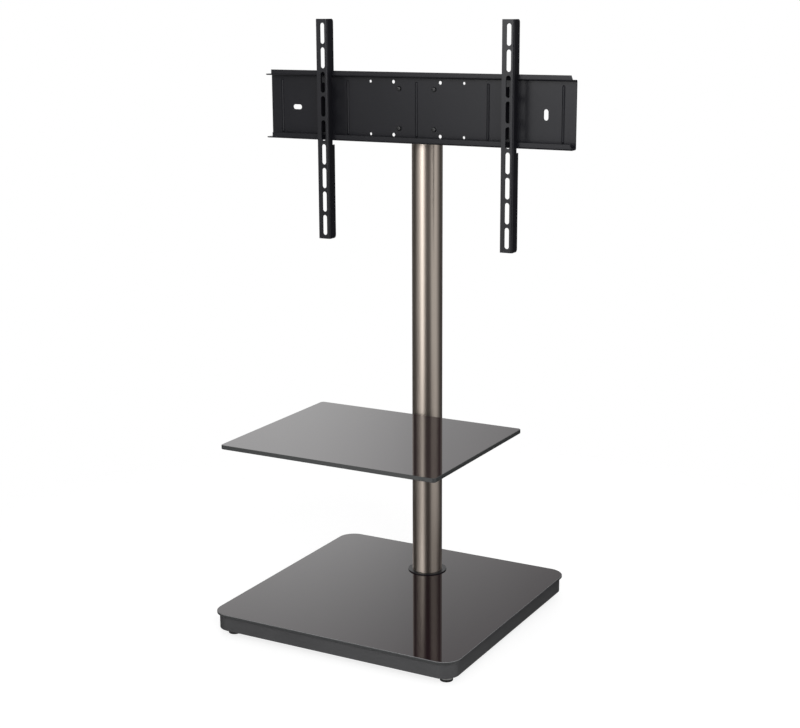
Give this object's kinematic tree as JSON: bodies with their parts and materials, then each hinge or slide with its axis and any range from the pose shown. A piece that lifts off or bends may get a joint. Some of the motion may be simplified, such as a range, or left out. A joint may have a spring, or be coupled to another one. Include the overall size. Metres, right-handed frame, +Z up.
{
  "type": "tv stand with mount",
  "caption": "Floor stand for a flat screen: round brushed pole on a black glass base with levelling feet, a clamped glass shelf and a slotted steel rail with sliding hooked arms.",
  "frame": {"origin": "on the floor, under the middle of the base glass", "axes": "+X to the right seen from the front, +Y to the back, +Z up; the screen side faces -Y and the pole's axis stands at y 0.140 m"},
  "size_m": [0.65, 0.52, 1.153],
  "materials": {
    "black_glass": "polished safety glass, black on its underside, not see-through",
    "plinth_paint": "satin dark grey paint",
    "black_powder": "fine-textured black powder coat",
    "pole_steel": "brushed, dark titanium tone",
    "turned_steel": "turned, zinc plated",
    "fasteners": "black oxide",
    "disc_aluminium": "turned",
    "foot_rubber": "matt"
  },
  "bodies": {
    "stand": {"base_glass": "black_glass", "base_plinth": "plinth_paint", "base_plate": "plinth_paint", "foot_bushes": "turned_steel", "pole_collar": "black_powder", "pole_washers": "fasteners", "pole_bolts": "fasteners", "pole_foot": "turned_steel", "pole_tube": "pole_steel", "pole_head": "turned_steel", "head_bracket": "black_powder", "head_bolts": "fasteners", "rail": "black_powder", "rail_screws": "fasteners", "rail_nuts": "fasteners"},
    "shelf": {"shelf_glass": "black_glass", "shelf_discs": "disc_aluminium", "shelf_screws": "fasteners", "shelf_bracket": "black_powder", "shelf_clamp": "black_powder", "clamp_screws": "fasteners"},
    "arm_left": {"arm_left": "black_powder"},
    "arm_right": {"arm_right": "black_powder"},
    "leveller_front_left": {"foot_front_left": "turned_steel", "pad_front_left": "foot_rubber"},
    "leveller_front_right": {"foot_front_right": "turned_steel", "pad_front_right": "foot_rubber"},
    "leveller_back_left": {"foot_back_left": "turned_steel", "pad_back_left": "foot_rubber"},
    "leveller_back_right": {"foot_back_right": "turned_steel", "pad_back_right": "foot_rubber"}
  },
  "joints": [
    {"name": "shelf_height", "type": "slide", "parent": "stand", "child": "shelf", "axis": [0, 0, 1], "range_m": [-0.2, 0.3]},
    {"name": "arm_left_slide", "type": "slide", "parent": "stand", "child": "arm_left", "axis": [1, 0, 0], "range_m": [-0.12, 0.12]},
    {"name": "arm_right_slide", "type": "slide", "parent": "stand", "child": "arm_right", "axis": [1, 0, 0], "range_m": [-0.14, 0.1]},
    {"name": "foot_front_left_screw", "type": "slide", "parent": "stand", "child": "leveller_front_left", "axis": [0, 0, -1], "range_m": [-0.0045, 0.008]},
    {"name": "foot_front_right_screw", "type": "slide", "parent": "stand", "child": "leveller_front_right", "axis": [0, 0, -1], "range_m": [-0.0045, 0.008]},
    {"name": "foot_back_left_screw", "type": "slide", "parent": "stand", "child": "leveller_back_left", "axis": [0, 0, -1], "range_m": [-0.0045, 0.008]},
    {"name": "foot_back_right_screw", "type": "slide", "parent": "stand", "child": "leveller_back_right", "axis": [0, 0, -1], "range_m": [-0.0045, 0.008]}
  ]
}
